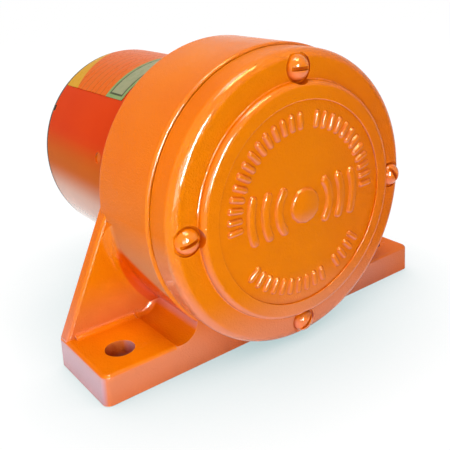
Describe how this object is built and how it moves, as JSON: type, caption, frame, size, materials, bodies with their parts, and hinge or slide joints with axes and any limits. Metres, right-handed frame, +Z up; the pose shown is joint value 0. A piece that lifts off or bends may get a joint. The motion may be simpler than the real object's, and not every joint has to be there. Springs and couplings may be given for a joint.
{
  "type": "vibration motor",
  "caption": "Foot-mounted rotary electric vibrator: round cast drum with a screwed cover, eccentric weight on ball bearings and a brushed motor behind.",
  "frame": {"origin": "midway between the two foot holes, on the underside of the foot", "axes": "+X along the foot, +Y along the shaft from the front cover towards the motor, +Z up"},
  "size_m": [0.1606, 0.1416, 0.115],
  "materials": {
    "casting_enamel": "gloss orange enamel",
    "shell_enamel": "gloss orange enamel",
    "painted_screw": "gloss orange enamel over steel",
    "gasket_sheet": "dark fibre sheet",
    "seal_rubber": "matt",
    "inlet_rubber": "satin",
    "bearing_steel": "ground and polished",
    "cage_brass": "satin",
    "spring_steel": "satin",
    "shaft_steel": "ground",
    "weight_iron": "dark machined",
    "black_screw": "black oxide",
    "plated_screw": "zinc plated",
    "lamination_steel": "varnished",
    "winding_copper": "enamelled copper",
    "commutator_copper": "turned copper",
    "magnet_ferrite": "sintered ferrite",
    "phenolic_board": "phenolic board",
    "holder_brass": "pressed brass",
    "carbon": "carbon",
    "black_cap": "satin black",
    "bush_bronze": "sintered bronze",
    "label_film": "printed film"
  },
  "bodies": {
    "frame": {"housing": "casting_enamel", "front_cover": "casting_enamel", "cover_gasket": "gasket_sheet", "cover_screws": "painted_screw", "front_bearing_outer_race": "bearing_steel", "wave_washer": "spring_steel", "middle_bearing_outer_race": "bearing_steel", "bearing_retaining_ring": "spring_steel", "shaft_seal": "seal_rubber", "motor_shell": "shell_enamel", "magnet_screws": "painted_screw", "field_magnets": "magnet_ferrite", "brush_plate": "phenolic_board", "brush_plate_screws": "plated_screw", "brush_holders": "holder_brass", "upper_brush_spring": "spring_steel", "lower_brush_spring": "spring_steel", "rear_end_cap": "black_cap", "rear_bush": "bush_bronze", "bush_retainer": "spring_steel", "through_bolts": "plated_screw", "cord_inlet": "inlet_rubber", "type_label": "label_film"},
    "rotor": {"front_bearing_inner_race": "bearing_steel", "middle_bearing_inner_race": "bearing_steel", "shaft": "shaft_steel", "eccentric_weight": "weight_iron", "weight_key": "shaft_steel", "weight_set_screw": "black_screw", "spacer_sleeves": "shaft_steel", "armature_core": "lamination_steel", "armature_windings": "winding_copper", "commutator": "commutator_copper", "thrust_washers": "phenolic_board"},
    "front_ball_set": {"front_bearing_balls": "bearing_steel", "front_bearing_cage": "cage_brass"},
    "middle_ball_set": {"middle_bearing_balls": "bearing_steel", "middle_bearing_cage": "cage_brass"},
    "upper_brush_body": {"upper_brush": "carbon"},
    "lower_brush_body": {"lower_brush": "carbon"}
  },
  "joints": [
    {"name": "rotor_spin", "type": "hinge", "parent": "frame", "child": "rotor", "pos_m": [0, 0, 0.058], "axis": [0, 1, 0], "continuous": true},
    {"name": "front_ball_roll", "type": "hinge", "parent": "frame", "child": "front_ball_set", "pos_m": [0, 0, 0.058], "axis": [0, 1, 0], "continuous": true},
    {"name": "middle_ball_roll", "type": "hinge", "parent": "frame", "child": "middle_ball_set", "pos_m": [0, 0, 0.058], "axis": [0, 1, 0], "continuous": true},
    {"name": "upper_brush_slide", "type": "slide", "parent": "frame", "child": "upper_brush_body", "axis": [0, 0, 1], "range_m": [0, 0.003], "stiffness_N_per_m": 200, "springref_m": -0.006, "deforming": ["upper_brush_spring"]},
    {"name": "lower_brush_slide", "type": "slide", "parent": "frame", "child": "lower_brush_body", "axis": [0, 0, -1], "range_m": [0, 0.003], "stiffness_N_per_m": 200, "springref_m": -0.006, "deforming": ["lower_brush_spring"]}
  ],
  "couplings": [
    {"joint": "front_ball_roll", "follows": "rotor_spin", "ratio": 0.3636},
    {"joint": "middle_ball_roll", "follows": "rotor_spin", "ratio": 0.38}
  ]
}
